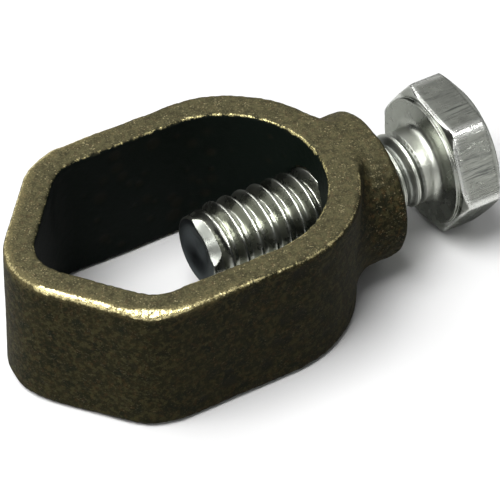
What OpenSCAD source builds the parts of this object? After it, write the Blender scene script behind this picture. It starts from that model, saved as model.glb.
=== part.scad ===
// Cast rod-to-cable earthing clamp: a one-piece bronze ring and its hex-head screw.
// Millimetres. The ring lies flat on z = 0 with its opening along Z. The screw runs along X, with its
// head towards +X. x = 0 and y = 0 are the middle of the whole clamp with the screw as set below.

/* [Ring] */
// Height of the ring, from the face it lies on to the upper face
ring_h = 12; // [10:0.5:16]
// Width across the two long parallel sides
ring_w = 19.8; // [18:0.2:24]
// Distance from the side corners to the centre of the round end
straight_len = 9.2; // [7:0.2:14]
// Half of the angle between the two outer faces of the vee end
v_half_angle = 50; // [45:1:55]
// Outer radius where a side turns into the vee
corner_r = 5.7; // [4:0.1:6]
// Outer radius at the tip of the vee
apex_r = 5.2; // [4:0.1:6]

/* [Opening] */
// Wall thickness of the long sides
side_wall = 2.25; // [2:0.05:2.6]
// Wall thickness of the vee faces
vee_wall = 2.4; // [2.2:0.1:2.8]
// Wall thickness behind the round end, where the screw passes
end_wall = 2.75; // [2.4:0.05:3.2]
// Inner radius where a side turns into the vee
corner_in_r = 3.3; // [2.5:0.1:3.6]
// Inner radius at the tip of the vee
apex_in_r = 2.9; // [2.5:0.1:3.4]

/* [Boss] */
// Diameter of the round boss that carries the tapped hole
boss_d = 11.9; // [11.4:0.1:12]
// How far the boss stands out past the round end
boss_len = 2.6; // [2:0.1:4]
// Rounding of the boss's outer edge
boss_edge_r = 0.6; // [0.4:0.1:1]
// Radius of the fillet where the boss grows out of the ring
boss_fillet_r = 1.2; // [1:0.1:2.5]

/* [Screw] */
// Major diameter of the thread (1/4 inch)
thread_d = 6.35; // [5:0.05:6.5]
// Pitch of the thread (20 turns per inch)
thread_pitch = 1.27; // [1:0.01:1.3]
// Length under the head
screw_len = 20; // [18:0.5:26]
// Hexagon, across its flats
head_af = 10.9; // [10:0.1:11.2]
// Height of the head, with its washer face
head_h = 4; // [3.5:0.1:4.5]
// Turn of the hexagon about its own axis at rest, in degrees
head_turn = 2; // [0:1:59]
// Space between the boss and the head at rest
head_gap = 4.6; // [2:0.1:7]

/* [Thread detail] */
// Clearance between the screw's thread and the tapped thread, measured radially
thread_gap = 0.08; // [0.05:0.01:0.1]
// Straight sides that make up one turn of the thread
turn_steps = 30; // [24:2:32]

/* [Hidden] */
$fn = 64;

// ---- ring outline, worked out about the centre of its round end
axis_z = ring_h / 2;
v_normal = [cos(90 + v_half_angle), sin(90 + v_half_angle)];
corner_at = [-straight_len, ring_w / 2 - corner_r];
vee_reach = v_normal * corner_at + corner_r;
apex_at = [(vee_reach - apex_r) / v_normal[0], 0];
end_r = ring_w / 2;

opening_r = end_r - side_wall;
opening_x = end_r - end_wall - opening_r;
vee_in_reach = vee_reach - vee_wall;
corner_in_y = opening_r - corner_in_r;
corner_in_at = [(vee_in_reach - corner_in_r - v_normal[1] * corner_in_y) / v_normal[0], corner_in_y];
apex_in_at = [(vee_in_reach - apex_in_r) / v_normal[0], 0];

// ---- places along X, from the centre of the round end
boss_x = end_r + boss_len;
head_x = boss_x + head_gap;
tip_x = head_x - screw_len;
left_x = apex_at[0] - apex_r;
right_x = head_x + head_h;
// moves the middle of the whole clamp to x = 0
to_middle = -(left_x + right_x) / 2;

// ---- fillet between boss and round end, tangent to both
boss_r = boss_d / 2;
fillet_y = boss_r + boss_fillet_r;
fillet_x = sqrt(pow(end_r + boss_fillet_r, 2) - pow(fillet_y, 2));

// ---- thread form: 60 degree flanks, flat crests an eighth of a pitch wide
major_r = thread_d / 2;
minor_r = major_r - 0.6134 * thread_pitch;
crest_half = thread_pitch / 16;
root_half = thread_pitch / 8;
// turns over which the thread rises to its full depth, and runs out again under the head
run_in = 0.7;
run_out = 1;
// plain end of the screw before its first thread, with the shallow dish in its face
end_face_r = major_r - 0.45;
end_plain_r = major_r - 0.3;
end_plain_len = 0.3;
dish_r = 2.3;
dish_depth = 0.4;
// plain band left between the thread and each plain end
thread_margin = 0.05;
// whole turns that fit between that end and the plain neck, which flares where it meets the head
neck_len = 0.6;
screw_turns = floor((screw_len - end_plain_len - neck_len) / thread_pitch) - 1;
neck_x = end_plain_len + thread_pitch * (screw_turns + 1) + thread_margin;
neck_plain_r = major_r - 0.15;
neck_flare_r = major_r + 0.35;
neck_flare_len = 0.25;
neck_in_head = 0.1;
// the tapped thread starts inside the ring's opening and ends outside the boss
hole_lead = 2;
hole_from = floor((opening_x + opening_r - hole_lead - tip_x - end_plain_len) / thread_pitch) - 1;
hole_x = tip_x + end_plain_len + hole_from * thread_pitch;
hole_turns = ceil((boss_x - hole_x) / thread_pitch) + 2;
hole_end_r = minor_r - 0.3;
hole_end_len = 0.2;
// 45 degree countersink at its mouth, which takes the run-out of the screw's thread
sink_r = major_r + 0.38;

// ---- head
washer_r = 0.475 * head_af;
washer_h = 0.3;
head_corner_r = head_af / sqrt(3) - 0.1;
head_chamfer_r = head_af / 2 + 0.15;
head_top_r = head_af / 2 - 0.3;
head_chamfer_under = 0.3;
head_chamfer_top = 0.65;

// ---- sealed core, the part of the screw that travels without turning
core_r = 1.2;
core_len = 8;
core_gap = 0.1;
core_x = tip_x + screw_len / 2;

// how far a cutter runs past the faces it goes through
over = 1;

// Outward normal of the straight side between two circles [centre, radius], taken anticlockwise.
function side_angle(a, b) =
    let(d = b[0] - a[0]) atan2(d[1], d[0]) - 90 + asin((a[1] - b[1]) / norm(d));
function on_circle(c, angle) = c[0] + c[1] * [cos(angle), sin(angle)];

// Outline with straight sides between circles listed anticlockwise, round at each circle.
module round_cornered(circles) {
    n = len(circles);
    polygon([for (i = [0:n - 1], s = [0, 1])
        let(a = circles[i], b = circles[(i + 1) % n]) on_circle(s == 0 ? a : b, side_angle(a, b))]);
    for (c = circles)
        translate(c[0]) circle(r = c[1]);
}

// Ring outlines, mirrored about the screw's axis.
module vee_outline(end_at, round_r, side_at, side_r, tip_at, tip_r) {
    below = [side_at[0], -side_at[1]];
    round_cornered([[end_at, round_r], [side_at, side_r], [tip_at, tip_r], [below, side_r]]);
}

// Profile of the boss in (distance from the screw's axis, distance along it).
module boss_profile() {
    difference() {
        union() {
            square([boss_r - boss_edge_r, boss_x]);
            square([boss_r, boss_x - boss_edge_r]);
            translate([boss_r - boss_edge_r, boss_x - boss_edge_r]) circle(r = boss_edge_r);
            square([fillet_y, fillet_x]);
        }
        translate([fillet_y, fillet_x]) circle(r = boss_fillet_r);
    }
}

// Place along the axis, within one pitch, of the four corners of the thread form.
// Corners 0 and 3 are the two sides of the root, 1 and 2 the two sides of the crest.
function corner_x(j) =
    [root_half, thread_pitch / 2 - crest_half, thread_pitch / 2 + crest_half, thread_pitch - root_half][j];
// 0 at both ends of the thread and 1 where it has its full depth, t turns from its start.
function depth_at(t, turns) = max(0, min(1, t / run_in, (turns - t) / run_out));

// Closed solid of a threaded rod along +X. tip_rings and neck_rings are [x, radius] pairs of its plain
// ends, and the thread runs between them from x0. gap moves the whole surface outwards, for a tapped hole.
module threaded_rod(x0, turns, tip_rings, neck_rings, tip_dish, gap) {
    n = turn_steps;
    steps = turns * n;
    tips = len(tip_rings);
    necks = len(neck_rings);
    start_r = tip_rings[tips - 1][1];
    finish_r = neck_rings[0][1];
    function around(x, r, angle) = [x, r * cos(angle), r * sin(angle)];
    function thread_point(i, j) =
        let(t = i / n, d = depth_at(t, turns), full_r = (j == 0 || j == 3) ? minor_r : major_r,
            plain_r = t < turns / 2 ? start_r : finish_r, flank = (j < 2 ? -gap : gap) * tan(30) * d)
        around(x0 + thread_pitch * t + corner_x(j) + flank, plain_r * (1 - d) + full_r * d + gap, 360 * t);

    rings = [for (q = concat(tip_rings, neck_rings), k = [0:n - 1]) around(q[0], q[1] + gap, 360 * k / n)];
    spiral = [for (i = [0:steps], j = [0:3]) thread_point(i, j)];
    centres = [[tip_rings[0][0] + tip_dish, 0, 0], [neck_rings[necks - 1][0], 0, 0]];

    // numbers of the points in that order: centres, rings, spiral
    function ring_no(q, k) = 2 + q * n + k % n;
    function spiral_no(i, j) = 2 + (tips + necks) * n + 4 * i + j;
    function quad(a, b, c, d) = [[a, c, b], [a, d, c]];
    function fan(hub, rim) = [for (k = [0:len(rim) - 2]) [hub, rim[k + 1], rim[k]]];
    last_turn = steps - n;

    caps = [for (k = [0:n - 1])
        each [[0, ring_no(0, k), ring_no(0, k + 1)],
              [1, ring_no(tips + necks - 1, k + 1), ring_no(tips + necks - 1, k)]]];
    bands = [for (q = [0:tips + necks - 2], k = [0:n - 1]) if (q != tips - 1)
        each quad(ring_no(q, k), ring_no(q, k + 1), ring_no(q + 1, k + 1), ring_no(q + 1, k))];
    flanks = [for (i = [0:steps - 1], j = [0:2])
        each quad(spiral_no(i, j), spiral_no(i + 1, j), spiral_no(i + 1, j + 1), spiral_no(i, j + 1))];
    roots = [for (i = [0:last_turn - 1])
        each quad(spiral_no(i, 3), spiral_no(i + 1, 3), spiral_no(i + n + 1, 0), spiral_no(i + n, 0))];
    lead_in = [for (k = [0:n - 1])
        each quad(ring_no(tips - 1, k), ring_no(tips - 1, k + 1), spiral_no(k + 1, 0), spiral_no(k, 0))];
    lead_out = [for (k = [0:n - 1])
        each quad(spiral_no(last_turn + k, 3), spiral_no(last_turn + k + 1, 3),
            ring_no(tips, k + 1), ring_no(tips, k))];
    // the flat where the first turn begins and the one where the last turn ends
    start_flat = fan(spiral_no(n, 0), concat([ring_no(tips - 1, 0)], [for (j = [0:3]) spiral_no(0, j)]));
    finish_flat = fan(spiral_no(last_turn, 3),
        concat([ring_no(tips, 0)], [for (j = [3:-1:0]) spiral_no(steps, j)]));

    polyhedron(concat(centres, rings, spiral),
        concat(caps, bands, flanks, roots, lead_in, lead_out, start_flat, finish_flat));
}

// ---- sub-parts, each in its place

module clamp_body() {
    color([0.41, 0.36, 0.24])
    translate([to_middle, 0, 0])
    difference() {
        union() {
            linear_extrude(ring_h)
                vee_outline([0, 0], end_r, corner_at, corner_r, apex_at, apex_r);
            intersection() {
                translate([0, 0, axis_z]) rotate([0, 90, 0]) rotate_extrude() boss_profile();
                translate([0, -ring_w / 2, 0]) cube([boss_x + over, ring_w, ring_h]);
            }
        }
        translate([0, 0, -over]) linear_extrude(ring_h + 2 * over)
            vee_outline([opening_x, 0], opening_r, corner_in_at, corner_in_r, apex_in_at, apex_in_r);
        translate([0, 0, axis_z]) {
            tapped_hole();
            translate([boss_x - sink_r, 0, 0]) rotate([0, 90, 0])
                cylinder(r1 = 0, r2 = sink_r + over, h = sink_r + over);
        }
    }
}

// Cutter for the tapped hole, in step with the screw's thread at rest.
module tapped_hole() {
    hole_end_x = hole_x + thread_pitch * (hole_turns + 1);
    threaded_rod(hole_x, hole_turns, [[hole_x - hole_end_len, hole_end_r]],
        [[hole_end_x + hole_end_len, hole_end_r]], 0, thread_gap);
}

module clamp_screw() {
    tip_rings = [[0, dish_r], [0, end_face_r], [end_plain_len - thread_margin, end_plain_r]];
    neck_rings = [[neck_x, neck_plain_r], [screw_len - neck_flare_len, neck_plain_r],
        [screw_len + neck_in_head, neck_flare_r]];
    color([0.62, 0.63, 0.63])
    translate([to_middle, 0, axis_z])
    difference() {
        union() {
            translate([tip_x, 0, 0])
                threaded_rod(end_plain_len, screw_turns, tip_rings, neck_rings, dish_depth, 0);
            translate([head_x, 0, 0]) screw_head();
        }
        translate([core_x - core_gap, 0, 0]) rotate([0, 90, 0])
            cylinder(r = core_r + core_gap, h = core_len + 2 * core_gap);
    }
}

// Hexagon with both ends chamfered, on a round washer face.
module screw_head() {
    rotate([head_turn, 0, 0]) rotate([0, 90, 0]) intersection() {
        rotate_extrude() polygon([[0, 0], [washer_r, 0], [washer_r, washer_h], [head_chamfer_r, washer_h],
            [head_corner_r, washer_h + head_chamfer_under], [head_corner_r, head_h - head_chamfer_top],
            [head_top_r, head_h], [0, head_h]]);
        rotate([0, 0, 30]) linear_extrude(head_h) circle(r = head_af / sqrt(3), $fn = 6);
    }
}

module screw_core() {
    color([0.5, 0.5, 0.5])
    translate([to_middle + core_x, 0, axis_z]) rotate([0, 90, 0]) cylinder(r = core_r, h = core_len);
}

clamp_body();
clamp_screw();
screw_core();
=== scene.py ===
"""Looks of the ground clamp: an as-cast bronze ring and its bright hex-head screw.

The two visible pieces are built here in millimetres, about the CAD model's own places: the ring as the
zero surface of a distance function, the screw as a grid of rings along its axis. x runs along the screw
towards its head, y across the ring and z up through its opening.
"""

import math

import bpy
import numpy as np
from mathutils import Matrix, Vector


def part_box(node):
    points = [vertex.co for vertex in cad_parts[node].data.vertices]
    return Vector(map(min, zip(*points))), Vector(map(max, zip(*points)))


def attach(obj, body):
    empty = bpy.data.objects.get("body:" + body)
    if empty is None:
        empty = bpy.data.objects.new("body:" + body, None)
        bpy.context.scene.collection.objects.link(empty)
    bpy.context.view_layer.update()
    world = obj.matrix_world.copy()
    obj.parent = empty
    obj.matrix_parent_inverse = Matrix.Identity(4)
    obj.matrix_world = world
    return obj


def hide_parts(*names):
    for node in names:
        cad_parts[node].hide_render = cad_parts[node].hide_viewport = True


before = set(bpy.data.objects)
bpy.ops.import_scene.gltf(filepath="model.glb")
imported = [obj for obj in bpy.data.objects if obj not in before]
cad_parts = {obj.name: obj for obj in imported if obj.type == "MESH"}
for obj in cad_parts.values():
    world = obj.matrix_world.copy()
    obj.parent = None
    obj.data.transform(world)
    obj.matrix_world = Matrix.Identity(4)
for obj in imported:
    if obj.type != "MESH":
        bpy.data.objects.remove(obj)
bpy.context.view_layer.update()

MM = 0.001
TAU = 2 * math.pi


# ---------------------------------------------------------------- sizes, in millimetres

def box_mm(node):
    """Lowest and highest corner of a CAD node, in millimetres."""
    low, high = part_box(node)
    return low / MM, high / MM


body_low, body_high = box_mm("clamp_body")
screw_low, screw_high = box_mm("clamp_screw")

RING_H = body_high.z - body_low.z
MID_Z = (body_high.z + body_low.z) / 2
END_R = (body_high.y - body_low.y) / 2
BOSS_LEN = 2.6
BOSS_R = 5.94
BOSS_EDGE_R = 0.55
BOSS_FILLET_R = 1.15
BOSS_X = END_R + BOSS_LEN          # the boss's face, from the centre of the round end
END_X = body_high.x - BOSS_X       # that centre, in the frame
EDGE_R = 0.5                       # rounding of the ring's outer edges
INNER_EDGE_R = 0.36                # and of the opening's
SKIN = 0.065                       # the cast surface stays this far inside the CAD one
PIT_DEPTH = 0.12                   # of the deepest casting pit

# outlines: circles as (x, y, radius), upper half only, from the round end to the tip of the vee
STRAIGHT_LEN = 9.2
V_NORMAL = math.radians(140)
CORNER_R = 5.7
APEX_R = 5.2
OPENING_R = 7.65
OPENING_X = -0.5
VEE_WALL = 2.4
CORNER_IN_R = 3.3
APEX_IN_R = 2.9

# the screw's thread
THREAD_R = 3.175
PITCH = 1.27
ROOT_R = THREAD_R - 0.6134 * PITCH
OUTSIDE_R = 3.28                   # just clear of the crests
THREAD_FROM = 0.3                  # from the tip to the first turn
SCREW_TURNS = 14
RUN_IN = 0.4                       # turns over which the thread rises at the tip
RUN_OUT = 1.0                      # and those over which it fades under the head
SEAM_DEPTH = 0.14                  # where the crest of the rolled thread hasn't quite closed, near the head
SEAM_HALF = 0.07
HOLE_GAP = 0.12                    # between the hole's thread and the screw's
SINK_DEPTH = 0.38                  # of the countersink round the hole
BORE_FROM = 4.0                    # the hole starts here, within the opening

# its ends, along the screw from the tip
SCREW_LEN = 20.0                   # to the underside of the head
HEAD_H = screw_high.x - screw_low.x - SCREW_LEN
TIP_R = 2.68                       # of the end face
TIP_DISH_R = 2.3
TIP_DISH_DEPTH = 0.42
TIP_BEVEL_SIDE = math.radians(120)  # the tip's bevel is wide on this side only
TIP_BEVEL_R = 2.1                  # where it starts there, from the axis
END_PLAIN_R = 2.78                 # of the shank where the thread starts
NECK_PLAIN_R = 3.025               # and where it ends
NECK_FILLET_R = 0.7

# head
WASHER_R = 5.18
WASHER_EDGE_R = 0.08
HEX_X = SCREW_LEN + 0.3            # the washer face stands out by this
HEX_HALF = 5.45                    # half of the hexagon's width across flats
HEX_TURN = math.radians(2)
HEX_CORNER_R = 6.27                # just inside its corners
HEX_FRONT_R = 5.55                 # its front is flat as far as this and then slants back
HEX_FRONT_RISE = 2.0               # outwards per length along
HEX_END_R = 5.2                    # the same for its outer end
HEX_END_CHAMFER = 0.7
HEX_END_EDGE_R = 0.14
HEX_END_X = SCREW_LEN + HEAD_H - HEX_END_CHAMFER
ROLL_DEPTH = 0.09                  # the hexagon's edge towards the thread is rolled over
ROLL_LEN = 0.16

# flats worn into the upper edge: a dent at the near corner, which faces that way, and one along the vee
DENT_FACING = np.array([-0.35, -0.60, 0.72])
DENT_DEPTH = 0.42
VEE_WORN_DEPTH = 0.29
WORN_BLEND = 0.12
DIAGONAL = math.sqrt(0.5)


def vee_circles(end_x, end_r, corner_r, apex_r, reach, corner_x):
    """The three circles that an outline runs round, the corner's in place either by x or by reach."""
    nx, ny = math.cos(V_NORMAL), math.sin(V_NORMAL)
    corner_y = end_r - corner_r
    if corner_x is None:
        corner_x = (reach - corner_r - ny * corner_y) / nx
    else:
        reach = nx * corner_x + ny * corner_y + corner_r
    return [(end_x, 0.0, end_r), (corner_x, corner_y, corner_r), ((reach - apex_r) / nx, 0.0, apex_r)], reach


OUTER, VEE_REACH = vee_circles(0.0, END_R, CORNER_R, APEX_R, None, -STRAIGHT_LEN)
INNER, _ = vee_circles(OPENING_X, OPENING_R, CORNER_IN_R, APEX_IN_R, VEE_REACH - VEE_WALL, None)
SECTORS = [(0.0, TAU / 4), (TAU / 4, V_NORMAL), (V_NORMAL, TAU / 2)]


# ---------------------------------------------------------------- distances, negative inside

def outline_distance(x, y, circles):
    """Signed distance to an outline of arcs and their common tangents, alike above and below y = 0."""
    y = np.abs(y)
    found = None
    for (cx, cy, r), (start, end) in zip(circles, SECTORS):
        middle, half = (start + end) / 2, (end - start) / 2
        turn = np.arctan2(y - cy, x - cx) - middle
        turn = np.clip((turn + TAU / 2) % TAU - TAU / 2, -half, half) + middle
        d = (x - cx) * np.cos(turn) + (y - cy) * np.sin(turn) - r
        found = d if found is None else np.maximum(found, d)
    return found


def rounded_meet(a, b, r):
    """Where two shapes meet, with the edge between them rounded to radius r."""
    return np.minimum(np.maximum(a, b), -r) + np.hypot(np.maximum(a + r, 0), np.maximum(b + r, 0))


def filleted_join(a, b, r):
    """Two shapes joined, with a fillet of radius r between them."""
    return np.maximum(np.minimum(a, b), r) - np.hypot(np.maximum(r - a, 0), np.maximum(r - b, 0))


def soft_min(a, b, k):
    """The smaller of two values, blended where they differ by less than k."""
    h = np.clip(0.5 + 0.5 * (b - a) / k, 0, 1)
    return b * (1 - h) + a * h - k * h * (1 - h)


def soft_max(a, b, k):
    """The larger of two values, blended in the same way."""
    return -soft_min(-a, -b, k)


def thread_radius(along, around, turns=None, gap=0.0):
    """Radius of the thread, along in mm from its start, around in turns from 0 to 1. With turns, its
    length, it fades into the plain ends."""
    phase = along / PITCH - around
    from_root = np.abs((phase + 0.5) % 1 - 0.5) * PITCH
    height = (from_root - PITCH / 8) * (THREAD_R - ROOT_R) / (PITCH * 5 / 16)
    form = ROOT_R + soft_min(soft_max(height, 0.0, 0.16), THREAD_R - ROOT_R, 0.07) + gap
    if turns is None:
        return form
    t = np.floor(phase) + around
    depth = np.clip(np.minimum(t / RUN_IN, (turns - t) / RUN_OUT), 0, 1)
    depth = np.where((phase < 0) | (t > turns), 0, depth)
    plain = np.where(t < turns / 2, END_PLAIN_R, NECK_PLAIN_R)
    seam = SEAM_DEPTH * np.exp(-((from_root - PITCH / 2) / SEAM_HALF) ** 2) * smooth_step(t, 8.0, 10.0)
    return plain * (1 - depth) + (form - seam) * depth


class Waves:
    """Smooth random field of about unit height: plane waves of one size, from a seed."""

    def __init__(self, seed, size, count=14):
        rng = np.random.default_rng(seed)
        direction = rng.normal(size=(count, 3))
        direction /= np.linalg.norm(direction, axis=1)[:, None]
        self.k = direction * (TAU / (size * rng.uniform(0.75, 1.35, count)))[:, None]
        self.phase = rng.uniform(0, TAU, count)
        self.scale = math.sqrt(2 / count)

    def __call__(self, x, y, z):
        total = 0.0
        for k, phase in zip(self.k, self.phase):
            total = total + np.sin(k[0] * x + k[1] * y + k[2] * z + phase)
        return total * self.scale


def worn_distance(x, y, z):
    """Distance past the worn flats, positive where metal is gone."""
    cx, cy, r = OUTER[1]
    nx, ny, nz = DENT_FACING / np.linalg.norm(DENT_FACING)
    level = math.hypot(nx, ny)
    edge_x, edge_y = cx + r * nx / level, r * ny / level - cy
    above = z - RING_H / 2
    dent = (x - edge_x) * nx + (y - edge_y) * ny + above * nz + DENT_DEPTH
    past_vee = x * math.cos(V_NORMAL) - y * math.sin(V_NORMAL) - VEE_REACH
    return np.maximum(dent, (past_vee + above) * DIAGONAL + VEE_WORN_DEPTH)


swell = Waves(3, 9.0)
ripple = Waves(5, 2.4)
grain = Waves(8, 0.7)
grit = Waves(13, 0.45)


def body_parts(x, y, z):
    """The distances the ring's shape and its wear are made of."""
    slab = np.abs(z) - RING_H / 2 + SKIN
    outer = outline_distance(x, y, OUTER) + SKIN
    opening = outline_distance(x, y, INNER)
    rim = np.hypot(y, z) - BOSS_R
    face = x - BOSS_X + SKIN
    return slab, outer, opening, rim, face


def body_distance(x, y, z, skin=False):
    """Signed distance to the ring with its boss and hole. With skin it has its casting roughness too."""
    slab, outer, opening, rim, face = body_parts(x, y, z)
    edge_r, inner_edge_r, worn = EDGE_R, INNER_EDGE_R, worn_distance(x, y, z)
    if skin:
        rough = grit(x, y, z)
        edge_r = edge_r + 0.03 * ripple(x, y, z) + 0.025 * rough
        inner_edge_r = inner_edge_r + 0.02 * ripple(y, x, z) + 0.03 * rough
        worn = worn + 0.03 * rough
    boss = np.maximum(rounded_meet(rim, face, BOSS_EDGE_R), -x)
    solid = rounded_meet(filleted_join(outer, boss, BOSS_FILLET_R), slab, edge_r)
    solid = np.maximum(solid, rounded_meet(-opening, slab, inner_edge_r))
    solid = soft_max(solid, worn, WORN_BLEND)
    if skin:
        crust = smooth_step(outer, 0.3, 1.5) * smooth_step(-face, 0.1, 0.6)
        solid = solid + 0.015 * swell(x, y, z) + 0.004 * ripple(x, y, z)
        solid = solid + (0.004 + 0.017 * crust) * grain(x, y, z)
    radius = np.hypot(y, z)
    around = np.arctan2(z, y) / TAU % 1
    from_tip = x + END_X - screw_low.x - THREAD_FROM
    hole = (radius - thread_radius(from_tip, around, gap=HOLE_GAP)) * 0.6
    sink = (radius - (THREAD_R + SINK_DEPTH - BOSS_X + x)) * DIAGONAL
    bored = np.minimum(hole, sink)
    bored = np.maximum(bored, BORE_FROM - x)
    return np.maximum(solid, -bored)


# ---------------------------------------------------------------- meshes

def surface_nets(field, origin, step):
    """Points and quads of the zero surface of a field sampled on a grid, facing its positive side."""
    inside = field < 0
    shape = tuple(n - 1 for n in field.shape)
    corners = [(i, j, k) for i in (0, 1) for j in (0, 1) for k in (0, 1)]
    count = np.zeros(shape, np.int8)
    for i, j, k in corners:
        count += inside[i:i + shape[0], j:j + shape[1], k:k + shape[2]]
    cells = np.argwhere((count > 0) & (count < 8))
    index = np.full(shape, -1)
    index[tuple(cells.T)] = np.arange(len(cells))
    values = {c: field[tuple((cells + c).T)] for c in corners}
    total = np.zeros((len(cells), 3))
    hits = np.zeros(len(cells))
    for a in corners:
        for axis in range(3):
            if a[axis]:
                continue
            b = tuple(v + (n == axis) for n, v in enumerate(a))
            fa, fb = values[a], values[b]
            crossing = (fa < 0) != (fb < 0)
            point = np.tile(np.array(a, float), (len(cells), 1))
            point[:, axis] += np.where(crossing, fa / np.where(crossing, fa - fb, 1), 0)
            total[crossing] += point[crossing]
            hits += crossing
    points = origin + step * (cells + total / hits[:, None])
    quads = []
    for axis in range(3):
        u, v = (axis + 1) % 3, (axis + 2) % 3
        low = np.take(inside, range(shape[axis]), axis)
        high = np.take(inside, range(1, shape[axis] + 1), axis)
        edges = np.argwhere(low != high)
        edges = edges[(edges[:, u] > 0) & (edges[:, v] > 0)]
        ring = []
        for du, dv in ((1, 1), (0, 1), (0, 0), (1, 0)):
            cell = edges.copy()
            cell[:, u] -= du
            cell[:, v] -= dv
            ring.append(index[tuple(cell.T)])
        ring = np.stack(ring, 1)
        flip = ~inside[tuple(edges.T)]
        ring[flip] = ring[flip][:, ::-1]
        quads.append(ring)
    return points, np.concatenate(quads)


def settle(points, distance, steps=4):
    """Moves points onto the zero surface of distance, along its slope. Also gives the slope's direction."""
    h = 0.01
    furthest = 0.08
    for _ in range(steps):
        d = distance(*points.T)
        slope = np.stack([distance(*(points + h * axis).T) - d for axis in np.eye(3)], 1) / h
        size = np.maximum((slope ** 2).sum(1), 0.2)
        move = np.clip(d / size, -furthest, furthest)
        points = points - move[:, None] * slope
    return points, slope / np.linalg.norm(slope, axis=1)[:, None]


def mesh_object(name, points, faces, attributes):
    """A smooth mesh object from points in mm in the frame, with float attributes on its points."""
    mesh = bpy.data.meshes.new(name)
    mesh.from_pydata((points * MM).tolist(), [], faces)
    mesh.update()
    mesh.shade_smooth()
    for key, values in attributes.items():
        layer = mesh.attributes.new(key, "FLOAT", "POINT")
        layer.data.foreach_set("value", np.asarray(values, np.float32))
    piece = bpy.data.objects.new(name, mesh)
    bpy.context.scene.collection.objects.link(piece)
    return piece


def smooth_step(value, low, high):
    t = np.clip((value - low) / (high - low), 0, 1)
    return t * t * (3 - 2 * t)


def pits(points, slope, rng):
    """Depths of scattered casting pits, most of them on the long side at -y."""
    depth = np.zeros(len(points))
    side = (slope[:, 1] < -0.9) & (points[:, 0] > -8) & (points[:, 0] < 3) & (np.abs(points[:, 2]) < 5)
    for chosen, count, size, deep in ((side, 70, (0.25, 0.7), (0.03, PIT_DEPTH)),
                                      (np.abs(slope[:, 2]) < 0.5, 120, (0.15, 0.4), (0.02, 0.07)),
                                      (np.abs(slope[:, 2]) > 0.9, 60, (0.1, 0.25), (0.01, 0.04))):
        centres = points[rng.choice(np.flatnonzero(chosen), count)]
        for centre, radius, deepest in zip(centres, rng.uniform(*size, count), rng.uniform(*deep, count)):
            near = ((points - centre) ** 2).sum(1) / radius ** 2
            depth = np.maximum(depth, deepest * np.exp(-near))
    return depth


def make_body():
    """The cast ring, with attributes that say where it is worn, flat, pitted, creased, inside its opening and
    so on.
    """
    step = 0.15
    margin = 3 * step
    low = np.array([OUTER[2][0] - APEX_R, -END_R, -RING_H / 2]) - margin
    high = np.array([BOSS_X, END_R, RING_H / 2]) + margin
    x, y, z = (np.arange(a, b + step, step) for a, b in zip(low, high))
    field = body_distance(x[:, None, None], y[None, :, None], z[None, None, :])
    points, quads = surface_nets(field, low, step)
    points, slope = settle(points, lambda *p: body_distance(*p, skin=True))
    x, y, z = points.T
    slab, outer, opening, rim, face = body_parts(x, y, z)
    clear_of_boss = np.where(x > 0, smooth_step(rim, 0.1, 1.2), 1.0)
    edge_depth = -np.minimum(slab, outer)
    vee_end = smooth_step(-x, 0.0, 9.0)
    corner = np.exp(-((x - OUTER[1][0] + 1.5) ** 2 + (np.abs(y) - END_R + 1.0) ** 2) / 4.0)
    handled = clear_of_boss * (0.6 + 0.4 * smooth_step(z, -4.0, 2.0))
    wear = np.clip(1 - edge_depth / (0.6 + 0.2 * corner), 0, 1) * handled
    wear = wear * (0.94 + 0.06 * vee_end + 0.25 * corner)
    dented = np.clip(1 - np.abs(worn_distance(x, y, z)) / 0.3, 0, 1)
    rubbed = np.clip(1 - edge_depth / 1.6, 0, 1) * handled * (0.3 + 0.7 * vee_end)
    inner_wear = np.clip(1 + np.minimum(slab, -opening) / 0.4, 0, 1) * (0.8 + 0.2 * smooth_step(x, -8.0, 2.0))
    rim_wear = np.clip(1 + np.minimum(rim, face) / 0.7, 0, 1) * (rim < 0.1) * (outer > 1.0)
    crease = np.clip(np.minimum(outer, np.maximum(rim, -x)) / 0.3, 0, 1) * clear_of_boss
    flat = smooth_step(np.abs(slope[:, 2]), 0.55, 0.95)
    inside = smooth_step(-opening, -0.5, -0.1) * (1 - flat) * (x < BOSS_X)
    crust = smooth_step(outer, 0.2, 1.2) * (1 - flat)
    sunk = pits(points, slope, np.random.default_rng(21))
    points = points - slope * sunk[:, None]
    points = points + np.array([END_X, 0, MID_Z])
    return mesh_object("cast_ring", points, quads.tolist(), {
        "wear": np.maximum(np.maximum(wear, rim_wear * 0.6), dented), "inner_wear": inner_wear,
        "flat": flat, "rubbed": rubbed, "inside": inside, "crease": crease, "crust": crust,
        "pit": sunk / PIT_DEPTH})


def hexagon_radius(around):
    """Radius of the slightly rounded hexagon at each angle."""
    sharp = 70                     # a higher power gives sharper corners
    total = 0.0
    for k in range(6):
        total = total + np.maximum(np.cos(around - HEX_TURN - (k + 0.5) * TAU / 6), 0) ** sharp
    return HEX_HALF / total ** (1 / sharp)


PLAIN, THREADED, HEXAGON = range(3)


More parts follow.
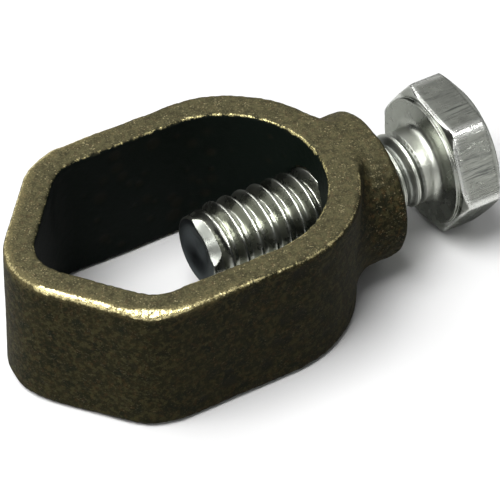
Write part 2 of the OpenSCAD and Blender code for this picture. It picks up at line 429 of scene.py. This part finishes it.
def screw_path():
    """The screw's profile as rows of (distance from the tip, radius limit, zone)."""
    rows = []

    def line(x0, r0, x1, r1, count, zone):
        for n in range(count):
            rows.append((x0 + (x1 - x0) * n / count, r0 + (r1 - r0) * n / count, zone))

    def arc(cx, cr, r, start, end, count, zone):
        for n in range(count):
            a = math.radians(start + (end - start) * n / count)
            rows.append((cx + r * math.cos(a), cr + r * math.sin(a), zone))

    dish_rows = 16
    rows.append((TIP_DISH_DEPTH, 0.0, PLAIN))
    for n in range(1, dish_rows):
        r = TIP_DISH_R * n / dish_rows
        rows.append((TIP_DISH_DEPTH * (1 - smooth_step(r, 0.6, TIP_DISH_R)), r, PLAIN))
    chamfer_x = OUTSIDE_R - TIP_R
    line(0.0, TIP_DISH_R, 0.0, TIP_R, 6, PLAIN)
    line(0.0, TIP_R, chamfer_x, OUTSIDE_R, 16, THREADED)
    line(chamfer_x, OUTSIDE_R, SCREW_LEN - NECK_FILLET_R, OUTSIDE_R, 520, THREADED)

    fillet_r = NECK_PLAIN_R + NECK_FILLET_R
    washer_r = WASHER_R - WASHER_EDGE_R
    washer_x = SCREW_LEN + WASHER_EDGE_R
    arc(SCREW_LEN - NECK_FILLET_R, fillet_r, NECK_FILLET_R, 270, 360, 12, PLAIN)
    line(SCREW_LEN, fillet_r, SCREW_LEN, washer_r, 10, PLAIN)
    arc(washer_x, washer_r, WASHER_EDGE_R, 180, 90, 4, PLAIN)
    line(washer_x, WASHER_R, HEX_X, WASHER_R + 0.01, 4, PLAIN)

    corner_x = HEX_X + (HEX_CORNER_R - HEX_FRONT_R) / HEX_FRONT_RISE
    fine_to_x = HEX_X + 0.9
    end_x = SCREW_LEN + HEAD_H
    line(HEX_X, WASHER_R + 0.01, HEX_X, HEX_FRONT_R, 6, HEXAGON)
    line(HEX_X, HEX_FRONT_R, corner_x, HEX_CORNER_R, 10, HEXAGON)
    line(corner_x, HEX_CORNER_R, fine_to_x, HEX_CORNER_R, 12, HEXAGON)
    line(fine_to_x, HEX_CORNER_R, HEX_END_X, HEX_CORNER_R, 10, HEXAGON)
    line(HEX_END_X, HEX_CORNER_R, end_x - 0.1, HEX_END_R, 24, HEXAGON)
    arc(end_x - HEX_END_EDGE_R, HEX_END_R - 0.1, HEX_END_EDGE_R, 45, 0, 4, HEXAGON)
    line(end_x, HEX_END_R - 0.2, end_x, 0.0, 10, PLAIN)
    rows.append((end_x, 0.0, PLAIN))
    return np.array(rows)


def make_screw():
    """The screw, with attributes that say where its thread, neck, hexagon, worn edges and tip are; the tip's
    darkens it as painted shade.
    """
    rows = screw_path()
    columns = 180
    angle = HEX_TURN + TAU * np.arange(columns) / columns
    x, limit, zone = (rows[1:-1, n][:, None] for n in range(3))
    thread = thread_radius(x - THREAD_FROM, (angle / TAU % 1)[None, :], SCREW_TURNS)
    radius = np.where(zone == THREADED, soft_min(limit, thread, 0.06), limit)
    hexagon = hexagon_radius(angle)[None, :]
    past_front = x - HEX_X - np.maximum(hexagon - HEX_FRONT_R, 0) / HEX_FRONT_RISE
    rolled = hexagon - ROLL_DEPTH * np.exp(-np.maximum(past_front, 0) / ROLL_LEN)
    radius = np.where(zone == HEXAGON, soft_min(limit, rolled, 0.14), radius)
    x, limit, zone = (a + 0 * radius for a in (x, limit, zone))
    # the bevel is a cone that rises 3 in 4, and lies outside the metal away from its own side
    bevel_r = TIP_BEVEL_R + 1.4 * (1 - smooth_step(np.cos(angle - TIP_BEVEL_SIDE), 0.35, 0.97))
    past_bevel = np.maximum(0.8 * (radius - bevel_r) - 0.6 * x, 0)
    radius, x = radius - 0.8 * past_bevel, x + 0.6 * past_bevel
    cut = smooth_step(past_bevel, 0.0, 0.05).ravel()
    points = np.stack([x, radius * np.cos(angle), radius * np.sin(angle)], 2).reshape(-1, 3)
    points = np.concatenate([points, [[rows[0, 0], 0, 0], [rows[-1, 0], 0, 0]]])
    count = len(rows) - 2
    tip, top = count * columns, count * columns + 1
    first = np.arange(count - 1)[:, None] * columns + np.arange(columns)[None, :]
    after = np.arange(count - 1)[:, None] * columns + (np.arange(columns)[None, :] + 1) % columns
    faces = np.stack([first, after, after + columns, first + columns], 2).reshape(-1, 4).tolist()
    last = (count - 1) * columns
    for n in range(columns):
        m = (n + 1) % columns
        faces.append((tip, m, n))
        faces.append((top, last + n, last + m))
    shank = 1 - smooth_step(x, SCREW_LEN - NECK_FILLET_R, SCREW_LEN - 0.1).ravel()
    neck = smooth_step(x, SCREW_LEN - 6.5, SCREW_LEN - 2.5).ravel() * shank
    crest = smooth_step(radius.ravel(), ROOT_R + 0.45, THREAD_R - 0.02) * shank * (1 - cut)
    # painted shade: the end face, and the bevel less so, are darkened
    tip_painted_shade = np.where(((zone == PLAIN) & (x < 2)).ravel(), 1 - 0.4 * cut, 0.6 * cut)
    hexes = ((zone == HEXAGON) * smooth_step(limit, 5.9, 6.2)).ravel()
    end_slant = (HEX_END_CHAMFER - 0.1) / (HEX_CORNER_R - HEX_END_R)
    before_end = HEX_END_X + (HEX_CORNER_R - hexagon) * end_slant - x
    front = np.exp(-np.where(past_front > 0, past_front / 0.28, past_front / 0.08) ** 2)
    end = 0.4 * np.exp(-(before_end / 0.1) ** 2)
    corner = smooth_step(radius, 5.95, 6.2)
    worn = (np.maximum(np.maximum(front, end), corner) * (zone == HEXAGON)).ravel()
    pad = [0.0, 0.0]
    points = points + np.array([screw_low.x, 0, MID_Z])
    return mesh_object("hex_screw", points, faces, {
        "crest": np.concatenate([crest, pad]), "hexes": np.concatenate([hexes, pad]),
        "shank": np.concatenate([shank, [1.0, 0.0]]), "neck": np.concatenate([neck, pad]),
        "worn": np.concatenate([worn, pad]),
        "tip": np.concatenate([tip_painted_shade, [1.0, 0.0]])})


# ---------------------------------------------------------------- materials

def new_material(name):
    material = bpy.data.materials.new(name)
    material.use_nodes = True
    tree = material.node_tree
    tree.nodes.clear()
    output = tree.nodes.new("ShaderNodeOutputMaterial")
    shader = tree.nodes.new("ShaderNodeBsdfPrincipled")
    tree.links.new(shader.outputs[0], output.inputs["Surface"])
    return material, tree, shader


def put(tree, socket, value):
    """Sets a socket to a number or colour, or links another socket to it."""
    if isinstance(value, bpy.types.NodeSocket):
        tree.links.new(value, socket)
    else:
        socket.default_value = value


def node(tree, kind, settings=None, **inputs):
    """A shader node with its settings and inputs. An input's name has _ for a space."""
    made = tree.nodes.new("ShaderNode" + kind)
    for key, value in (settings or {}).items():
        setattr(made, key, value)
    for key, value in inputs.items():
        put(tree, made.inputs[key.replace("_", " ")], value)
    return made


def math_node(tree, operation, a, b):
    made = tree.nodes.new("ShaderNodeMath")
    made.operation = operation
    put(tree, made.inputs[0], a)
    put(tree, made.inputs[1], b)
    return made.outputs[0]


def times(tree, a, b):
    return math_node(tree, "MULTIPLY", a, b)


def plus(tree, a, b):
    return math_node(tree, "ADD", a, b)


def minus(tree, a, b):
    return math_node(tree, "SUBTRACT", a, b)


def larger(tree, a, b):
    return math_node(tree, "MAXIMUM", a, b)


def mix_colour(tree, factor, a, b):
    made = tree.nodes.new("ShaderNodeMix")
    made.data_type = "RGBA"
    put(tree, made.inputs[0], factor)
    put(tree, made.inputs[6], a)
    put(tree, made.inputs[7], b)
    return made.outputs[2]


def ramp(tree, value, low, high, to_low=0.0, to_high=1.0):
    """value from low to high becomes to_low to to_high, smoothly, and stays there beyond."""
    made = node(tree, "MapRange", {"interpolation_type": "SMOOTHSTEP"}, Value=value)
    for name, number in (("From Min", low), ("From Max", high), ("To Min", to_low), ("To Max", to_high)):
        made.inputs[name].default_value = number
    return made.outputs["Result"]


def noise(tree, where, size, detail=3.0, roughness=0.6):
    """Noise with lumps of about that size in mm."""
    made = node(tree, "TexNoise", Vector=where, Scale=1 / (size * MM), Detail=detail, Roughness=roughness)
    return made.outputs[0]


def attribute(tree, name):
    """A float attribute of the mesh's points."""
    return node(tree, "Attribute", {"attribute_name": name}).outputs["Fac"]


def bronze_material():
    """Old cast bronze: dark olive patina, lighter on the flat faces as painted light, near black inside the
    opening as painted shade, darker in pits and in the crease round the boss, bright along edges, with
    glints.
    """
    material, tree, shader = new_material("aged_bronze")
    where = node(tree, "TexCoord").outputs["Object"]
    blotch = noise(tree, where, 2.2, 4.0)
    mottle = noise(tree, where, 0.45, 4.0, 0.7)
    fine = noise(tree, where, 0.14, 2.0)
    clump = noise(tree, where, 0.8, 3.0)
    rust = ramp(tree, noise(tree, where, 0.4, 4.0, 0.7), 0.5, 0.7)
    dark_olive = (0.008, 0.009, 0.004, 1)
    olive = (0.025, 0.023, 0.009, 1)
    patina = mix_colour(tree, ramp(tree, blotch, 0.2, 0.8), dark_olive, olive)
    patina = mix_colour(tree, ramp(tree, mottle, 0.46, 0.6, 0.0, 0.9), patina, (0.057, 0.051, 0.021, 1))
    patina = mix_colour(tree, ramp(tree, clump, 0.5, 0.64, 0.0, 0.9), patina, (0.007, 0.010, 0.005, 1))
    crust = attribute(tree, "crust")
    rusty = times(tree, rust, plus(tree, times(tree, crust, 0.35), 0.6))
    patina = mix_colour(tree, rusty, patina, (0.083, 0.050, 0.019, 1))
    # skin: the flat faces' colour, lighter than the sides' patina, which is painted light from above
    skin = mix_colour(tree, ramp(tree, mottle, 0.32, 0.7), (0.036, 0.034, 0.018, 1), (0.086, 0.079, 0.039, 1))
    skin = mix_colour(tree, times(tree, rust, 0.6), skin, (0.094, 0.066, 0.034, 1))
    skin = mix_colour(tree, ramp(tree, fine, 0.45, 0.75, 0.0, 0.7), skin, (0.130, 0.112, 0.057, 1))
    # inner walls of the opening: a dark green patina, made near black as painted shade
    inside_patina_and_shade = (0.003, 0.006, 0.004, 1)
    colour = mix_colour(tree, attribute(tree, "inside"), patina, inside_patina_and_shade)
    # painted light: the flat faces take the lighter colour
    colour = mix_colour(tree, attribute(tree, "flat"), colour, skin)
    ragged = plus(tree, times(tree, mottle, 0.8), times(tree, fine, 0.6))
    patchy = ramp(tree, clump, 0.35, 0.65, -0.1, 0.1)
    rubbed = plus(tree, attribute(tree, "rubbed"), times(tree, fine, 0.8))
    colour = mix_colour(tree, ramp(tree, rubbed, 0.75, 1.45, 0.0, 0.40), colour, (0.27, 0.225, 0.105, 1))
    edge = ramp(tree, plus(tree, attribute(tree, "wear"), ragged), 1.25, 1.6)
    colour = mix_colour(tree, edge, colour, (0.62, 0.54, 0.27, 1))
    inner = plus(tree, plus(tree, attribute(tree, "inner_wear"), ragged), patchy)
    inner_edge = ramp(tree, inner, 1.2, 1.55)
    colour = mix_colour(tree, inner_edge, colour, (0.60, 0.53, 0.25, 1))
    # darker in the casting pits and in the fillet round the boss
    pit_and_crease_dark = larger(tree, ramp(tree, attribute(tree, "pit"), 0.1, 0.6, 0.0, 0.8), attribute(tree, "crease"))
    colour = mix_colour(tree, pit_and_crease_dark, colour, (0.010, 0.010, 0.006, 1))
    cells = node(tree, "TexVoronoi", Vector=where, Scale=1 / (0.09 * MM)).outputs["Color"]
    pick = node(tree, "SeparateColor", Color=cells)
    glint = ramp(tree, pick.outputs[0], 0.88, 0.97)
    amount = plus(tree, times(tree, attribute(tree, "flat"), 0.2), 0.09)
    amount = plus(tree, amount, times(tree, crust, 0.14))
    amount = times(tree, amount, ramp(tree, clump, 0.42, 0.62, 0.1, 1.0))
    amount = minus(tree, amount, times(tree, attribute(tree, "inside"), 0.2))
    amount = larger(tree, amount, larger(tree, edge, inner_edge))
    glint = times(tree, glint, amount)
    colour = mix_colour(tree, glint, colour, (0.66, 0.58, 0.34, 1))
    put(tree, shader.inputs["Base Color"], colour)
    metal = larger(tree, glint, times(tree, edge, 0.85))
    metal = larger(tree, metal, times(tree, inner_edge, 0.92))
    put(tree, shader.inputs["Metallic"], larger(tree, metal, 0.12))
    put(tree, shader.inputs["Roughness"], ramp(tree, metal, 0.0, 1.0, 0.7, 0.2))
    shader.inputs["Specular IOR Level"].default_value = 0.06
    height = plus(tree, mottle, times(tree, fine, 0.6))
    facets = times(tree, pick.outputs[1], ramp(tree, metal, 0.0, 0.7, 0.25, 1.4))
    height = plus(tree, height, facets)
    bump = node(tree, "Bump", Height=height, Strength=0.6, Distance=0.06 * MM)
    put(tree, shader.inputs["Normal"], bump.outputs[0])
    return material


def steel_material():
    """Bright rolled steel: drawing lines along the flats, fine scratches, edges rubbed brighter, the shank
    lighter as painted light and the tip darkened as painted shade.
    """
    material, tree, shader = new_material("bright_steel")
    where = node(tree, "TexCoord").outputs["Object"]
    stretched = node(tree, "Mapping", Vector=where)
    stretched.inputs["Scale"].default_value = (0.05, 1.0, 1.0)
    lines = noise(tree, stretched.outputs[0], 0.2, 3.0, 0.7)
    cloud = noise(tree, where, 1.8, 3.0)
    fine = noise(tree, where, 0.12, 2.0)
    base = mix_colour(tree, ramp(tree, cloud, 0.3, 0.7), (0.255, 0.264, 0.236, 1), (0.345, 0.357, 0.318, 1))
    # painted light: the shank and its thread get a lighter steel than the head
    base = mix_colour(tree, attribute(tree, "shank"), base, (0.44, 0.452, 0.392, 1))
    neck = attribute(tree, "neck")
    base = mix_colour(tree, times(tree, neck, 0.85), base, (0.19, 0.198, 0.182, 1))
    hexes = attribute(tree, "hexes")
    patchy = times(tree, hexes, ramp(tree, cloud, 0.42, 0.62, 0.15, 1.0))
    streaks = times(tree, ramp(tree, lines, 0.48, 0.62, 0.0, 0.85), patchy)
    base = mix_colour(tree, streaks, base, (0.10, 0.105, 0.10, 1))
    rubbed = times(tree, attribute(tree, "worn"), ramp(tree, fine, 0.25, 0.6, 0.55, 1.0))
    base = mix_colour(tree, rubbed, base, (0.74, 0.75, 0.71, 1))
    base = mix_colour(tree, attribute(tree, "crest"), base, (0.62, 0.635, 0.57, 1))
    # painted shade: the tip's end face and bevel are darkened
    base = mix_colour(tree, attribute(tree, "tip"), base, (0.075, 0.083, 0.086, 1))
    put(tree, shader.inputs["Base Color"], base)
    shader.inputs["Specular Tint"].default_value = (0.45, 0.46, 0.45, 1)
    shader.inputs["Metallic"].default_value = 1.0
    rough = times(tree, plus(tree, neck, attribute(tree, "tip")), 0.06)
    rough = plus(tree, ramp(tree, cloud, 0.3, 0.7, 0.22, 0.34), rough)
    put(tree, shader.inputs["Roughness"], rough)
    height = times(tree, times(tree, lines, hexes), 3.2)
    tooled = larger(tree, times(tree, neck, 1.2), attribute(tree, "worn"))
    grainy = plus(tree, times(tree, tooled, 0.9), 0.35)
    height = plus(tree, height, times(tree, fine, grainy))
    height = plus(tree, height, times(tree, cloud, 0.3))
    bump = node(tree, "Bump", Height=height, Strength=0.5, Distance=0.04 * MM)
    put(tree, shader.inputs["Normal"], bump.outputs[0])
    return material


def floor_material():
    material, tree, shader = new_material("pale_floor")
    where = node(tree, "TexCoord").outputs["Object"]
    cloud = noise(tree, where, 60.0, 2.0)
    colour = mix_colour(tree, cloud, (0.74, 0.74, 0.74, 1), (0.76, 0.76, 0.76, 1))
    put(tree, shader.inputs["Base Color"], colour)
    shader.inputs["Roughness"].default_value = 0.9
    return material


# ---------------------------------------------------------------- stage

def make_floor():
    """A wide pale floor just under the clamp, which gives its matt surfaces no light back."""
    half = 2000.0
    drop = 0.02
    points = np.array([(-half, -half, 0), (half, -half, 0), (half, half, 0), (-half, half, 0)])
    floor = mesh_object("floor", points, [(0, 1, 2, 3)], {})
    floor.location.z = -drop * MM
    floor.data.materials.append(floor_material())
    floor.visible_diffuse = False


def aim(obj, place, target, roll=0.0):
    """Puts obj at place, with its -Z towards target, turned by roll about that line."""
    back = (Vector(place) - Vector(target)).normalized()
    turn = back.to_track_quat("Z", "Y").to_matrix() @ Matrix.Rotation(roll, 3, "Z")
    obj.matrix_world = Matrix.Translation(Vector(place)) @ turn.to_4x4()


def make_camera():
    """The view is from the vee's side, half above, with a long lens."""
    azimuth, elevation, roll = (math.radians(a) for a in (-31.54, 44.98, 1.4))
    distance = 0.2695
    field = math.radians(8.11)
    target = Vector((0.58, 0.0, 3.83)) * MM
    back = Vector((math.sin(azimuth) * math.cos(elevation), -math.cos(azimuth) * math.cos(elevation),
                   math.sin(elevation)))
    data = bpy.data.cameras.new("camera")
    data.sensor_width = 36
    data.lens = 18 / math.tan(field / 2)
    data.clip_start, data.clip_end = 0.01, 10
    camera = bpy.data.objects.new("camera", data)
    bpy.context.scene.collection.objects.link(camera)
    aim(camera, target + back * distance, target, roll)
    bpy.context.scene.camera = camera


def add_light(name, direction, size, power, reflected_only=False):
    """An area light that faces the clamp. With reflected_only it shows in reflections alone."""
    distance = 0.5
    target = Vector((0, 0, 5)) * MM
    data = bpy.data.lights.new(name, "AREA")
    data.shape = "RECTANGLE"
    data.size, data.size_y = size
    data.energy = power
    light = bpy.data.objects.new(name, data)
    bpy.context.scene.collection.objects.link(light)
    light.visible_diffuse = not reflected_only
    aim(light, target + Vector(direction).normalized() * distance, target)


def make_lights():
    """Soft light from above, small lights that the bright edges and the steel reflect, and a dim sky."""
    add_light("key", (0.37, -0.50, 0.78), (0.06, 0.22), 1.0, reflected_only=True)
    add_light("front", (-0.30, -0.62, 0.72), (0.13, 0.13), 1.1, reflected_only=True)
    add_light("top", (-0.40, -0.02, 0.95), (0.30, 0.30), 3.5)
    add_light("edge", (-0.68, -0.28, 0.67), (0.10, 0.10), 0.42, reflected_only=True)
    add_light("rim", (-0.30, 0.60, 0.70), (0.34, 0.09), 0.5)
    add_light("back", (0.40, 0.58, 0.70), (0.42, 0.42), 0.32)
    add_light("low", (0.37, -0.92, 0.16), (0.40, 0.20), 0.21, reflected_only=True)
    add_light("left", (-0.90, -0.35, 0.35), (0.30, 0.25), 0.5)
    world = bpy.data.worlds.new("studio")
    world.use_nodes = True
    tree = world.node_tree
    background = tree.nodes["Background"]
    direction = node(tree, "TexCoord").outputs["Generated"]
    up = node(tree, "SeparateXYZ", Vector=direction).outputs[2]
    sky = mix_colour(tree, ramp(tree, up, -0.15, 0.6), (0.03, 0.033, 0.036, 1), (0.12, 0.12, 0.12, 1))
    put(tree, background.inputs["Color"], sky)
    background.inputs["Strength"].default_value = 1.0
    bpy.context.scene.world = world


# ---------------------------------------------------------------- put together

make_camera()
make_floor()
make_lights()

bronze = bronze_material()
steel = steel_material()

ring = make_body()
ring.data.materials.append(bronze)
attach(ring, "clamp")
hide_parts("clamp_body")

screw = make_screw()
screw.data.materials.append(steel)
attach(screw, "screw")
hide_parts("clamp_screw")

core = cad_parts["screw_core"]      # the CAD's own plug, out of sight inside the shank
core.data.materials.clear()
core.data.materials.append(steel)

bpy.context.scene.view_settings.view_transform = "Standard"
